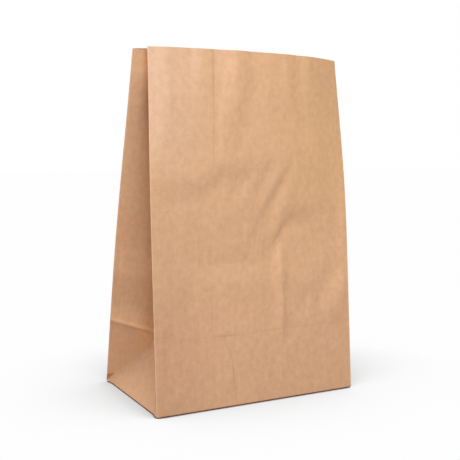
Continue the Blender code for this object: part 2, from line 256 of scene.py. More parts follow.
FRONT_MARKS = (
    # Upright flutes at the mouth
    Mark([(-0.080, 0.340), (-0.081, 0.240), (-0.087, 0.180)], NARROW, step=CLEAR),
    Mark([(-0.052, 0.340), (-0.052, 0.225)], NARROW, step=LIGHT),
    Mark([(-0.038, 0.340), (-0.0385, 0.180)], FINE, step=-FAINT),
    Mark([(-0.023, 0.340), (-0.025, 0.250), (-0.035, 0.185)], BROAD, step=CLEAR),
    Mark([(-0.004, 0.340), (-0.008, 0.260), (-0.018, 0.225), (-0.021, 0.185)], BROAD, step=-CLEAR),
    Mark([(0.038, 0.330), (0.037, 0.250), (0.043, 0.190)], NARROW, step=-FAINT),
    Mark([(0.050, 0.340), (0.050, 0.230)], NARROW, step=LIGHT),
    # Wave across under them, with short ridges hanging from it
    Mark(
        [(-0.100, 0.188), (-0.066, 0.171), (-0.048, 0.173), (-0.028, 0.184), (0.010, 0.185)],
        BROAD,
        step=CLEAR,
    ),
    Mark([(-0.024, 0.187), (-0.040, 0.160)], NARROW, step=FAINT),
    Mark([(-0.001, 0.188), (-0.019, 0.154)], NARROW, step=LIGHT),
    Mark([(0.024, 0.198), (0.007, 0.170), (0.000, 0.154)], NARROW, step=LIGHT),
    # Long slanting crease and the pale one beside it
    Mark([(0.040, 0.203), (0.017, 0.170), (0.000, 0.143)], FINE, step=-FAINT),
    Mark([(0.012, 0.163), (-0.003, 0.137), (-0.013, 0.108)], FINE, step=-FAINT),
    Mark([(0.041, 0.192), (0.025, 0.166), (0.017, 0.152), (0.006, 0.120)], NARROW, step=LIGHT),
    # Dent in the right half, and the hook at its end
    Mark([(0.016, 0.146), (0.040, 0.151), (0.068, 0.149)], BROAD, step=CLEAR),
    Mark([(0.024, 0.137), (0.038, 0.138), (0.052, 0.136)], NARROW, step=-FAINT),
    Mark([(0.030, 0.152), (0.020, 0.134), (0.012, 0.110)], FINE, step=-LIGHT),
    # Upright ridge below the dent
    Mark([(0.023, 0.138), (0.018, 0.122), (0.018, 0.106), (0.022, 0.085)], NARROW, step=STRONG),
    Mark([(0.0195, 0.110), (0.020, 0.050)], NARROW, step=LIGHT),
    Mark([(0.0225, 0.125), (0.0235, 0.080), (0.022, 0.040)], FINE, ridge=CLEAR),
    Mark([(0.021, 0.060), (0.018, 0.000)], FINE, step=FAINT),
    # Belt across over the folded gussets' ends
    Mark([(-0.060, 0.111), (-0.018, 0.113), (0.018, 0.112)], NARROW, ridge=-FAINT),
    Mark([(-0.066, 0.104), (0.024, 0.105)], BROAD, step=-LIGHT),
    Mark([(-0.054, 0.114), (-0.054, 0.064)], NARROW, step=FAINT),
    Mark([(-0.064, 0.106), (-0.066, 0.076)], BROAD, step=-FAINT),
    # Lower left corner
    Mark([(-0.082, 0.075), (-0.083, 0.015)], NARROW, step=-LIGHT),
    Mark([(-0.086, 0.010), (-0.074, 0.014), (-0.066, 0.024)], NARROW, step=-FAINT),
    # Print of the crease across, and the nick and the streak below it
    Mark([(-0.038, 0.057), (-0.019, 0.056)], FINE, step=FAINT),
    Mark([(-0.031, 0.053), (-0.024, 0.037), (-0.0205, 0.002)], FINE, step=-FAINT),
    Mark([(0.040, 0.057), (0.022, 0.037)], FINE, step=FAINT),
    # Slanting fold at the right, a streak beside it and the right fold's own wave
    Mark([(0.094, 0.110), (0.072, 0.083), (0.058, 0.056)], BROAD, step=STRONG),
    Mark([(0.054, 0.090), (0.042, 0.058)], NARROW, step=LIGHT),
    Mark([(0.086, 0.180), (0.084, 0.140), (0.086, 0.100)], NARROW, step=LIGHT),
)


GUSSET_MARKS = (
    # The crease across, where the bottom was folded up, and a soft wave above it
    Mark([(0.100, 0.0575), (-0.040, 0.0575)], NARROW, edge=CLEAR),
    Mark([(0.100, 0.0940), (-0.040, 0.0990)], BROAD, ridge=FAINT),
)


class StandingBag:
    """Where each place of the sheet lies once the bag stands open."""

    def __init__(self, sheet, stance):
        self.half_width = sheet.width / 2
        self.half_depth = sheet.depth / 2
        self.height = sheet.height
        self.rear_height = sheet.height + sheet.rear_lip
        self.ply = sheet.ply
        self.overlap = sheet.flap_overlap
        self.flap_length = self.half_depth + sheet.flap_overlap
        self.seam = (sheet.seam_offset, sheet.seam_width / 2)
        self.radius = sheet.fold_radius
        self.foot_lift = sheet.foot_lift
        self.foot_tuck = sheet.foot_tuck
        self.stance = stance
        self.base_level = 2 * sheet.ply
        self.lift = self.base_level + sheet.foot_lift
        leans = {
            ("front", "left"): stance.lean_left,
            ("front", "right"): stance.lean_right,
            ("rear", "left"): sheet.depth - stance.gap_left - stance.lean_left,
            ("rear", "right"): sheet.depth - stance.gap_right - stance.lean_right,
        }
        lengths = {"front": self.height, "rear": self.rear_height}
        self.folds = {
            place: UprightFold(leans[place], *FOLD_BENDS[place], lengths[place[0]])
            for place in leans
        }
        self.marks = {"front": FRONT_MARKS, "rear": self.rear_marks()}
        self.columns = {}

    def rear_marks(self):
        reach = self.half_width - 2 * self.half_depth
        crease = self.half_depth
        return (
            Mark([(-0.089, crease), (0.089, crease)], NARROW, edge=-CLEAR),
            Mark([(reach, 0.270), (reach + 0.001, 0.070)], FINE, edge=LIGHT),
            Mark([(-reach, 0.270), (-reach, 0.070)], FINE, edge=LIGHT),
            Mark([(-0.050, 0.225), (0.009, 0.175)], NARROW, ridge=-LIGHT),
            Mark([(0.056, 0.155), (0.022, 0.112)], NARROW, ridge=LIGHT),
            Mark([(-0.070, 0.130), (-0.045, 0.095)], NARROW, ridge=-LIGHT),
            Mark([(-0.027, 0.285), (-0.030, 0.190)], BROAD, ridge=-CLEAR),
            Mark([(0.020, 0.285), (0.018, 0.215)], BROAD, ridge=-CLEAR),
        )

    def relief(self, panel, across, along):
        place = Vector((across, along))
        total = sum(mark.relief(place) for mark in self.marks[panel])
        seed = OUTWARD[panel] * RIPPLE_SEED
        ripple = noise.noise(Vector((across * RIPPLES_ACROSS, along * RIPPLES_UP, seed)))
        total += RIPPLE_HEIGHT * ripple
        edge = min((self.half_width - abs(across)) / MARK_EASE, 1.0)
        foot = min(along / MARK_EASE, 1.0)
        return total * edge * foot

    def bow(self, panel, share, along):
        middle = self.stance.rear_bow
        if panel == "front":
            middle = self.stance.front_bow + self.stance.front_fullness * share * share
            middle += self.stance.front_skew * share * (along / self.height) ** 4
        grown = smooth((along - BOW_START) / (BOW_END - BOW_START))
        return middle * (1.0 - share * share) * grown

    def lean(self, panel, share, along):
        left = self.folds[panel, "left"].lean(along) * (1.0 - share) / 2
        right = self.folds[panel, "right"].lean(along) * (1.0 + share) / 2
        return left + right - self.bow(panel, share, along)

    def pull_in(self, panel, along):
        arc = 8.0 / 3.0 * self.bow(panel, 0.0, along) ** 2
        twist = self.folds[panel, "left"].lean(along) - self.folds[panel, "right"].lean(along)
        return (arc + twist * twist / 2) / (4 * self.half_width)

    def column(self, panel, share):
        key = (panel, round(share, 4))
        if key not in self.columns:
            heights = [0.0]
            for step in range(math.ceil(self.rear_height / COLUMN_STEP) + 2):
                low = self.lean(panel, share, step * COLUMN_STEP)
                high = self.lean(panel, share, (step + 1) * COLUMN_STEP)
                heights.append(heights[-1] + math.sqrt(COLUMN_STEP**2 - (high - low) ** 2))
            self.columns[key] = heights
        return self.columns[key]

    def climb(self, panel, share, along):
        heights = self.column(panel, share)
        step = min(int(along / COLUMN_STEP), len(heights) - 2)
        part = along / COLUMN_STEP - step
        return heights[step] * (1.0 - part) + heights[step + 1] * part

    def foot(self, along):
        """The rounded fold at the bottom: how far in, and what is left of the length up."""
        turn = min(along / self.radius, math.pi / 2)
        lost = self.radius * (turn - (1.0 - math.cos(turn)))
        return self.radius * (1.0 - math.sin(turn)), along - lost

    def panel_point(self, panel, share, along):
        inset, along = self.foot(along)
        x = share * (self.half_width - self.pull_in(panel, along) - inset)
        relief = self.relief(panel, share * self.half_width, along)
        y = self.half_depth - self.lean(panel, share, along) + relief - inset
        return Vector((x, OUTWARD[panel] * y, self.climb(panel, share, along)))

    def fold_point(self, panel, side, along):
        return self.panel_point(panel, SIDES[side], along)

    @functools.lru_cache(maxsize=None)
    def apex(self, side):
        front = self.fold_point("front", side, self.half_depth)
        rear = self.fold_point("rear", side, self.half_depth)
        heights = [(fold.y**2 + fold.z**2) / (2 * fold.z) for fold in (front, rear)]
        height = min(sum(heights) / 2, self.half_depth)
        inward = math.sqrt(self.half_depth**2 - height**2)
        return Vector((SIDES[side] * (self.half_width - inward), 0.0, height))

    def free_centre_fold(self, side, along):
        front = self.fold_point("front", side, along)
        rear = self.fold_point("rear", side, along)
        gap = (rear.y - front.y) / 2
        inward = math.sqrt(max(self.half_depth**2 - gap**2, 0.0))
        middle = (front + rear) / 2
        return Vector((middle.x - SIDES[side] * inward, middle.y, 0.0))

    @functools.lru_cache(maxsize=None)
    def centre_climb(self, side):
        top = (self.height + self.rear_height) / 2
        run = self.free_centre_fold(side, top) - self.free_centre_fold(side, self.half_depth)
        return math.sqrt(max(1.0 - (run.length / (top - self.half_depth)) ** 2, 0.0))

    @functools.lru_cache(maxsize=4096)
    def centre_fold(self, side, along):
        apex = self.apex(side)
        above = along - self.half_depth
        start = self.free_centre_fold(side, self.half_depth)
        settle = math.exp(-above / BEND_LENGTH)
        point = self.free_centre_fold(side, along)
        point.x += (apex.x - start.x) * settle
        point.y += (apex.y - start.y) * settle
        point.z = apex.z + above * self.centre_climb(side)
        return point

    def gusset_point(self, side, across, along):
        panel = "front" if across < 0.0 else "rear"
        inward = 1.0 - abs(across) / self.half_depth
        up = along / self.half_depth
        foot = Vector((SIDES[side] * self.half_width, 0.0, 0.0))
        apex = self.apex(side)
        if up <= inward + NEAR:
            inset, length = self.foot(along)
            free = min((self.half_depth - abs(across)) / TUCK_EASE, 1.0)
            tuck = inset + self.foot_tuck * smooth(free) * (1.0 - up / max(inward, NEAR))
            place = foot + Vector((-SIDES[side] * tuck, across * (1 - inset / self.half_depth), 0))
            return place + (length / self.half_depth) * (apex - foot)
        edge = self.fold_point(panel, side, along)
        if up < 1.0:
            corner = Vector((foot.x, OUTWARD[panel] * self.half_depth, 0.0))
            crease_end = self.fold_point(panel, side, self.half_depth)
            chord = corner + up * (crease_end - corner)
            place = chord + inward * (apex - crease_end) + (1.0 - inward / up) * (edge - chord)
            clear = min((up - inward) * self.half_depth / MARK_EASE, 1.0)
            return place + clear * self.gusset_relief(side, across, along, apex - crease_end)
        centre = self.centre_fold(side, along)
        relief = self.gusset_relief(side, across, along, centre - edge)
        return edge + inward * (centre - edge) + self.gusset_belly(centre - edge, inward, along) + relief

    def gusset_relief(self, side, across, along, chord):
        """What the creases move a half gusset outward, which is towards its other half."""
        place = Vector((abs(across), along))
        total = sum(mark.relief(place) for mark in GUSSET_MARKS)
        outer = (self.half_depth - abs(across)) / GUSSET_MARK_EASE
        edge = min(outer, abs(across) / MARK_EASE, 1.0)
        normal = Vector((-chord.y, chord.x, 0.0)).normalized()
        if normal.y * across > 0.0:
            normal = -normal
        return normal * total * edge

    def gusset_belly(self, across, inward, along):
        normal = Vector((-across.y, across.x, 0.0)).normalized()
        if normal.y < 0.0:
            normal = -normal
        grown = 1.0 - math.exp(-(along - self.half_depth) / self.half_depth)
        return normal * self.stance.belly * 4.0 * inward * (1.0 - inward) * grown

    def paper_length(self, place):
        if place.z <= self.half_depth:
            return place.z
        lip = self.rear_height - self.height
        top = self.height + lip * (place.y + self.half_depth) / (2 * self.half_depth)
        share = (place.z - self.half_depth) / (self.height - self.half_depth)
        return self.half_depth + share * (top - self.half_depth)

    def folded(self, place):
        along = self.paper_length(place)
        if self.half_depth - abs(place.y) < NEAR:
            panel = "front" if place.y < 0.0 else "rear"
            return self.panel_point(panel, place.x / self.half_width, along)
        if self.half_width - abs(place.x) < NEAR:
            side = "left" if place.x < 0.0 else "right"
            return self.gusset_point(side, place.y, along)
        inside = min(self.half_width - abs(place.x), self.half_depth - abs(place.y))
        sunk = -self.foot_lift * smooth(inside / FOOT_REACH)
        level = Vector((place.x * (1 - self.radius / self.half_width), place.y, sunk))
        level.y *= 1 - self.radius / self.half_depth
        return level


def cut(mesh, faces, point, normal):
    """Cuts faces along a plane, which leaves their shape alone."""
    around = {*faces}
    for face in faces:
        around.update(face.edges)
        around.update(face.verts)
    bmesh.ops.bisect_plane(mesh, geom=list(around), dist=NEAR, plane_co=point, plane_no=normal)


def faces_where(mesh, test):
    mesh.normal_update()
    return [face for face in mesh.faces if test(face, face.calc_center_median())]


def pushed_out(mesh, faces, step):
    """Extrudes faces by a step, with walls round their edge and nothing left behind."""
    made = bmesh.ops.extrude_face_region(mesh, geom=faces)
    moved = [item for item in made["geom"] if isinstance(item, bmesh.types.BMVert)]
    bmesh.ops.delete(mesh, geom=faces, context="FACES")
    bmesh.ops.translate(mesh, vec=step, verts=moved)
    return moved


class BagMesh:
    """The sheet's mesh, from four walls of small cells to one closed body."""

    HALF_CELLS = 32
    FRONT_COLUMNS = 104

    def __init__(self, bag):
        self.bag = bag
        self.cell = bag.half_depth / self.HALF_CELLS
        self.mesh = bmesh.new()
        self.seam_tag = self.mesh.faces.layers.int.new("seam")
        self.base_tag = self.mesh.faces.layers.int.new("base")
        self.uv = self.mesh.loops.layers.uv.new("sheet")

    def wall(self, across, width, origin, along_axis):
        """One wall as a grid of cells, with a row on the crease across."""
        bag = self.bag
        rows_above = round((bag.height - bag.half_depth) / self.cell)
        rows = self.HALF_CELLS + rows_above
        share = self.HALF_CELLS / rows
        grid = bmesh.ops.create_grid(self.mesh, x_segments=across, y_segments=rows, size=0.5)
        for vertex in grid["verts"]:
            up = vertex.co.y + 0.5
            low = min(up / share, 1.0) * bag.half_depth
            high = max((up - share) / (1.0 - share), 0.0) * (bag.height - bag.half_depth)
            place = origin + along_axis * (vertex.co.x * width)
            vertex.co = (place.x, place.y, low + high)
        return {face for vertex in grid["verts"] for face in vertex.link_faces}

    def build_walls(self):
        bag = self.bag
        across_x = Vector((1.0, 0.0, 0.0))
        across_y = Vector((0.0, 1.0, 0.0))
        width, depth = 2 * bag.half_width, 2 * bag.half_depth
        columns = self.FRONT_COLUMNS
        self.wall(columns, width, Vector((0.0, -bag.half_depth, 0.0)), across_x)
        rear = self.wall(columns // 2, width, Vector((0.0, bag.half_depth, 0.0)), across_x)
        for side in (-1.0, 1.0):
            place = Vector((side * bag.half_width, 0.0, 0.0))
            self.wall(2 * self.HALF_CELLS, depth, place, across_y)
        middle, half = bag.seam
        for edge in (middle - half, middle + half):
            cut(self.mesh, [face for face in rear if face.is_valid], (edge, 0, 0), (1, 0, 0))
            rear = faces_where(self.mesh, lambda face, c: c.y > bag.half_depth - NEAR)
        bmesh.ops.remove_doubles(self.mesh, verts=self.mesh.verts[:], dist=NEAR)
        for row in range(1, FOOT_ROWS):
            low = faces_where(self.mesh, lambda face, c: c.z < self.cell)
            level = bag.radius * math.pi / 2 * row / (FOOT_ROWS - 1)
            cut(self.mesh, low, (0.0, 0.0, level), (0.0, 0.0, 1.0))

    def fill_base(self):
        bag = self.bag
        rim = [edge for edge in self.mesh.edges if edge.is_boundary and edge.calc_length() > 0]
        rim = [edge for edge in rim if max(v.co.z for v in edge.verts) < NEAR]
        bmesh.ops.holes_fill(self.mesh, edges=rim, sides=0)
        tuck = bag.half_width - bag.flap_length
        for x in (-tuck, tuck):
            cut(self.mesh, self.base_faces(), (x, 0, 0), (1, 0, 0))
        for y in (-bag.overlap, 0.0, bag.overlap):
            cut(self.mesh, self.base_faces(), (0, y, 0), (0, 1, 0))
        for reach in (FOOT_REACH / 3, FOOT_REACH * 2 / 3, FOOT_REACH):
            for side in (-1.0, 1.0):
                cut(self.mesh, self.base_faces(), (side * (bag.half_width - reach), 0, 0), (1, 0, 0))
                cut(self.mesh, self.base_faces(), (0, side * (bag.half_depth - reach), 0), (0, 1, 0))
        for towards in (-1.0, 1.0):
            for side in (-1.0, 1.0):
                part = [
                    face
                    for face in self.base_faces()
                    if face.calc_center_median().y * towards > -bag.overlap
                    and face.calc_center_median().x * side > 0.0
                ]
                corner = (side * bag.half_width, towards * bag.half_depth, 0.0)
                cut(self.mesh, part, corner, (side, -towards, 0.0))
        bmesh.ops.triangulate(self.mesh, faces=self.base_faces())

    def base_faces(self):
        return faces_where(self.mesh, lambda face, c: c.z < NEAR and abs(face.normal.z) > 0.5)

    def lay_out_paper(self):
        """Gives every corner its place on the flat sheet, in metres, as the map "sheet"."""
        bag = self.bag
        for face in self.mesh.faces:
            centre = face.calc_center_median()
            for loop in face.loops:
                place = loop.vert.co
                across, up = place.x, place.z
                if bag.half_width - abs(centre.x) < NEAR:
                    side = math.copysign(1.0, centre.x)
                    across = side * (bag.half_width + bag.half_depth + place.y)
                elif bag.half_depth - centre.y < NEAR:
                    across = 2 * (bag.half_width + bag.half_depth) - place.x
                elif centre.z < NEAR:
                    up = -(place.y + bag.half_depth)
                loop[self.uv].uv = (across, up)

    def tag_seam(self):
        bag = self.bag
        middle, half = bag.seam
        for face in faces_where(self.mesh, lambda face, c: c.y > bag.half_depth - NEAR):
            if abs(face.calc_center_median().x - middle) < half:
                face[self.seam_tag] = 1

    def in_flap(self, centre, towards):
        bag = self.bag
        depth_in = bag.half_depth - centre.y * towards
        return depth_in < bag.flap_length and bag.half_width - abs(centre.x) > depth_in

    def fold_bottom(self):
        bag = self.bag
        down = (0.0, 0.0, -bag.ply)
        for flaps in ((-1.0, 1.0), (-1.0,)):
            lower = faces_where(
                self.mesh,
                lambda face, c: face[self.base_tag] == 1
                and face.normal.z < -0.5
                and any(self.in_flap(c, towards) for towards in flaps),
            )
            pushed_out(self.mesh, lower, down)
        tuck = bag.half_width - bag.flap_length
        for rear_limit in (bag.half_depth, -bag.overlap):
            middle = faces_where(
                self.mesh,
                lambda face, c: face[self.base_tag] == 1
                and face.normal.z > 0.5
                and abs(c.x) < tuck
                and c.y < rear_limit,
            )
            pushed_out(self.mesh, middle, down)

    def raise_seam(self):
        outer = faces_where(
            self.mesh, lambda face, c: face[self.seam_tag] == 1 and face.normal.y > 0.5
        )
        pushed_out(self.mesh, outer, (0.0, self.bag.ply, 0.0))

    def build(self):
        self.build_walls()
        self.fill_base()
        self.lay_out_paper()
        self.tag_seam()
        for face in self.base_faces():
            face[self.base_tag] = 1
        lift = Vector((0.0, 0.0, self.bag.lift))
        for vertex in self.mesh.verts:
            vertex.co = self.bag.folded(vertex.co) + lift
        bmesh.ops.recalc_face_normals(self.mesh, faces=self.mesh.faces[:])
        bmesh.ops.solidify(self.mesh, geom=self.mesh.faces[:], thickness=self.bag.ply)
        self.raise_seam()
        self.fold_bottom()
        return self.mesh


class Socket:
    """A shader socket that can be used in sums, so that shader maths reads as maths."""

    def __init__(self, tree, link):
        self.tree = tree
        self.link = link

    def math(self, operation, *values, clamp=False):
        return self.tree.node(
            "ShaderNodeMath", {"operation": operation, "use_clamp": clamp}, list(values)
        )

    def __add__(self, other):
        return self.math("ADD", self, other)

    def __radd__(self, other):
        return self.math("ADD", other, self)

    def __sub__(self, other):
        return self.math("SUBTRACT", self, other)

    def __rsub__(self, other):
        return self.math("SUBTRACT", other, self)

    def __mul__(self, other):
        return self.math("MULTIPLY", self, other)

    def __rmul__(self, other):
        return self.math("MULTIPLY", other, self)

    def __truediv__(self, other):
        return self.math("DIVIDE", self, other)

    def __pow__(self, other):
        return self.math("POWER", self, other)

    def __neg__(self):
        return self.math("MULTIPLY", self, -1.0)

    def __abs__(self):
        return self.math("ABSOLUTE", self)

    def clamped(self):
        return self.math("ADD", self, 0.0, clamp=True)

    def smooth(self, low, high):
        """0 below low, 1 above high, and smooth between."""
        settings = {"interpolation_type": "SMOOTHSTEP"}
        return self.tree.node("ShaderNodeMapRange", settings, {"Value": self, 1: low, 2: high})

    def between(self, rise, fall):
        """1 between two smooth edges, each given by where it starts and ends."""
        return self.smooth(*rise) * (1.0 - self.smooth(*fall))

    def most(self, other):
        return self.math("MAXIMUM", self, other)


class ShaderTree:
    """A material's nodes, added by type, settings and inputs."""

    def __init__(self, material):
        material.use_nodes = True
        self.nodes = material.node_tree.nodes
        self.links = material.node_tree.links
        self.nodes.clear()

    def add(self, kind, settings, inputs):
        made = self.nodes.new(kind)
        for name, value in settings.items():
            setattr(made, name, value)
        named = inputs.items() if isinstance(inputs, dict) else enumerate(inputs)
        for name, value in named:
            if isinstance(value, Socket):
                self.links.new(value.link, made.inputs[name])
            else:
                made.inputs[name].default_value = value
        return made

    def node(self, kind, settings, inputs, output=0):
        return Socket(self, self.add(kind, settings, inputs).outputs[output])

    def mix(self, factor, first, second):
        settings = {"data_type": "RGBA", "clamp_factor": True}
        return self.node("ShaderNodeMix", settings, {0: factor, 6: first, 7: second}, 2)

    def noise(self, vector, scale, detail=2.0, roughness=0.5):
        inputs = {"Vector": vector, "Scale": scale, "Detail": detail, "Roughness": roughness}
        return self.node("ShaderNodeTexNoise", {}, inputs)

    def scaled(self, vector, scale):
        settings = {"operation": "MULTIPLY"}
        return self.node("ShaderNodeVectorMath", settings, [vector, scale])


def opaque(colour):
    return (*colour, 1.0)


def groove(across, up, start, end, width):
    """1 on a straight line over the sheet, falling to 0 a width away from it."""
    run = (end[0] - start[0], end[1] - start[1])
    square = run[0] ** 2 + run[1] ** 2
    left, low = across - start[0], up - start[1]
    share = ((left * run[0] + low * run[1]) / square).clamped()
    off_across, off_up = left - share * run[0], low - share * run[1]
    distance = (off_across * off_across + off_up * off_up) ** 0.5
    return 1.0 - distance.smooth(0.0, width)


# Lines of painted shade along creases, each also a shallow dent in the bump
CREASE_SHADE_LINES = (
    # Painted shade along the print of the crease across: start, end and how dark it is
    ((-0.0890, 0.0575), (-0.0370, 0.0568), 0.12),
    ((-0.0370, 0.0568), (-0.0200, 0.0560), 0.30),
    ((-0.0200, 0.0560), (0.0250, 0.0575), 0.14),
    ((0.0250, 0.0575), (0.0890, 0.0570), 0.12),
    # Painted shade in the nick below it
    ((-0.0310, 0.0560), (-0.0240, 0.0370), 0.26),
    ((-0.0240, 0.0370), (-0.0225, 0.0220), 0.30),
    ((-0.0225, 0.0220), (-0.0210, 0.0030), 0.26),
    # Painted shade along the edge of the tucked gusset and a flute's sharp side
    ((-0.0410, 0.0840), (-0.0410, 0.0600), 0.14),
    ((-0.0375, 0.2900), (-0.0378, 0.2350), 0.30),
    ((-0.0378, 0.2350), (-0.0385, 0.1880), 0.18),
    # Painted shade along short wrinkles over the ridge, and the ridge's sharp side
    ((0.0230, 0.1370), (0.0150, 0.1270), 0.20),
    ((0.0005, 0.1390), (-0.0025, 0.1190), 0.18),
    ((0.0045, 0.1390), (0.0020, 0.1180), 0.15),
    ((0.0085, 0.1390), (0.0065, 0.1180), 0.15),
    ((0.0260, 0.1300), (0.0235, 0.1000), 0.16),
    ((0.0250, 0.0950), (0.0245, 0.0500), 0.18),
    # Painted shade along the crease across the left gusset
    ((-0.2050, 0.0572), (-0.1475, 0.0572), 0.12),
)
GROOVE_WIDTH = 0.0014
GROOVE_SHADE = 0.7
GROOVE_SHADE_COLOUR = 0.5
GROOVE_DEPTH = 4.0
# Lighter lines along the folds and the foot: wear of the fibres, and a painted highlight
FOLD_WEAR_AND_HIGHLIGHT = 0.0011
FOOT_WEAR_AND_HIGHLIGHT = 0.0014
WEAR_AND_HIGHLIGHT_LEAST = 0.25
WEAR_AND_HIGHLIGHT_CLOUDY = 0.5

# How strongly each pattern of the paper shows in its tone and in its surface
IN_TONE = {"streak": 0.30, "cockle": 0.35, "cloud": 1.5, "patch": 0.5, "grain": 0.8}
IN_SURFACE = {"streak": 0.4, "grain": 0.5, "cloud": 0.6, "cockle": 1.5}
ROUGHNESS = 0.55
ROUGHNESS_SPREAD = 0.10
SPECK_SHARE = 0.5
BUMP = {"Strength": 0.5, "Distance": 0.00015}

# The paper's deepest and palest mottle, as shares of its own colour
DEEP_KRAFT = (0.90, 0.87, 0.84)
PALE_KRAFT = (1.08, 1.11, 1.14)

# Where a front corner's fold lies across the sheet, with a soft change over it
FRONT_FOLD = (0.0895, 0.0905)
# Where the left gusset's painted shade starts: its width at the bottom and how fast it narrows
SHADE_WIDTH = 0.0605
SHADE_NARROWING = 0.166
# The painted shadow in the gusset's rear bottom corner: its slope and its height
SHADOW_WEDGE_SLOPE = 0.33
SHADOW_WEDGE_HEIGHT = 0.0068

# Tints of single areas, as shares of the paper's own colour; most are painted light and shade, as their
# names say
TINTS = {
    "top left sheen": (0.95, 1.01, 1.10),
    # Painted shade over the left of the front
    "left": (0.93, 0.92, 0.93),
    "lower left shade": (0.95, 0.93, 0.93),
    "lower front": (1.02, 0.99, 1.01),
    "upper right": (1.0, 1.0, 0.955),
    "left rim highlight": (1.03, 1.02, 1.08),
    "lit raised front": (1.05, 1.05, 1.05),
    # Painted warm bounce light over the gusset, and over its foot
    "gusset": (1.06, 1.02, 1.0),
    "gusset foot bounce light": (1.08, 1.02, 0.98),
    "base triangle": (0.98, 1.0, 1.03),
    "gusset inner shade": (1.0, 0.86, 0.73),
    "gusset outer light": (1.0, 1.06, 1.13),
    "gusset deep shade": (0.52, 0.49, 0.52),
    "nook_bounce_light": (1.13, 1.03, 0.95),
    "shadow_wedge": (0.66, 0.50, 0.42),
    "low band highlight": (1.17, 1.19, 1.21),
    "crease rim highlight": (1.09, 1.09, 1.07),
    "under crease shade": (0.95, 0.95, 0.95),
    "upper band highlight": (1.07, 1.09, 1.11),
}


def tinted(tree, colour, areas):
    """A colour times the tint of each named area, by a share that runs over the paper."""
    for name, share in areas:
        tint = tree.mix(share, opaque((1.0, 1.0, 1.0)), opaque(TINTS[name]))
        colour = tree.scaled(colour, tint)
    return colour


def front_tone(tree, colour, across, up):
    """The front panel: painted sheen at the upper left, painted shade along its left side, painted
    highlights by its left fold and on raised parts, warmer at the upper right, deeper low down.
    """
    front = 1.0 - abs(across).smooth(*FRONT_FOLD)
    # The front's left part, where the painted sheen and painted shade lie
    left = (-across).smooth(0.025, 0.085) * front
    high = up.smooth(0.180, 0.215)
    right = across.smooth(0.010, 0.050) * up.smooth(0.120, 0.160) * front
    # Edges, belt and swell get painted light where the paper stands out
    right_edge = across.smooth(0.068, 0.085) * up.smooth(0.060, 0.090) * front
    left_edge = (-across).smooth(0.070, 0.085) * high * front
    left_rim_highlight = (-across).smooth(0.080, 0.087) * high * front
    belt = up.between((0.090, 0.105), (0.118, 0.135)) * across.smooth(-0.010, 0.015)
    swell = up.between((0.185, 0.205), (0.212, 0.235))
    swell = swell * across.between((-0.030, 0.0), (0.050, 0.070))
    areas = (
        ("top left sheen", left * high),
        ("left", left * (1.0 - up.smooth(0.165, 0.215))),
        ("lower left shade", left * (1.0 - up.smooth(0.080, 0.110))),
        ("lower front", (1.0 - up.smooth(0.065, 0.100)) * front),
        ("upper right", right),
        ("left rim highlight", left_rim_highlight),
        ("lit raised front", (right_edge + left_edge + belt + swell) * front),
    )
    return tinted(tree, colour, areas)


def gusset_tone(tree, colour, across, up, bag):
    """The left gusset: painted shade deepening towards its inner fold and high up, painted warm bounce
    light over it and by the apex, a painted shadow in its rear bottom corner, painted highlights on two
    bands and over the crease, and painted shade just under the crease.
    """
    gusset = (-across).smooth(*FRONT_FOLD)
    inward = across + (bag.half_width + 2 * bag.half_depth)
    depth = inward / (SHADE_WIDTH - up * SHADE_NARROWING)
    # Painted shade towards the inner fold, and painted light near the rear fold high up
    inner = depth.smooth(0.45, 1.0) * gusset
    outer = (1.0 - depth.smooth(0.3, 0.7)) * up.smooth(0.130, 0.190) * gusset
    above = up.smooth(0.0565, 0.0585) * gusset
    below = gusset - above
    base = (inward - up).smooth(0.0, 0.006) * (1.0 - above) * gusset
    # Painted warm bounce light by the apex, and a painted shadow in the rear bottom corner
    nook_bounce_light = up.smooth(0.025, 0.050) * inward.smooth(0.020, 0.045) * below
    shadow_wedge = (inward * SHADOW_WEDGE_SLOPE + SHADOW_WEDGE_HEIGHT - up).smooth(0.0, 0.001) * below
    shadow_wedge = shadow_wedge * (up - inward).smooth(-0.0005, 0.0005) * up.smooth(0.001, 0.002)
    areas = (
        # Painted warm bounce light over the gusset and its foot
        ("gusset", gusset - base),
        ("gusset foot bounce light", below - base),
        ("base triangle", base),
        ("gusset inner shade", inner * above),
        ("gusset outer light", outer),
        ("gusset deep shade", inner * up.smooth(0.20, 0.25)),
        ("nook_bounce_light", nook_bounce_light),
        ("shadow_wedge", shadow_wedge),
        # Painted highlights above the crease and on a higher band, painted shade under the crease
        ("low band highlight", above * (1.0 - up.smooth(0.064, 0.080)) * (1.0 - inner * 0.7)),
        ("crease rim highlight", above * (1.0 - up.smooth(0.0595, 0.0620))),
        ("under crease shade", below * up.smooth(0.0530, 0.0560)),
        ("upper band highlight", above * up.between((0.095, 0.105), (0.115, 0.130))),
    )
    return tinted(tree, colour, areas)


def paper_patterns(tree, sheet):
    """The patterns in the paper, each from 0 to 1 and finer across than up."""
    return {
        "streak": tree.noise(tree.scaled(sheet, (420.0, 25.0, 1.0)), 1.0, 3.0),
        "cockle": tree.noise(tree.scaled(sheet, (130.0, 40.0, 1.0)), 1.0, 2.0),
        "cloud": tree.noise(tree.scaled(sheet, (1.0, 0.75, 1.0)), 230.0, 3.0, 0.6),
        "patch": tree.noise(tree.scaled(sheet, (1.0, 0.60, 1.0)), 95.0, 2.0, 0.6),
        "grain": tree.noise(tree.scaled(sheet, (1500.0, 600.0, 1.0)), 1.0, 2.0),
    }


def weighed(patterns, weights, start):
    """A level plus each pattern's swing about its middle, by its weight."""
    for name, weight in weights.items():
        start = start + (patterns[name] - 0.5) * weight
    return start


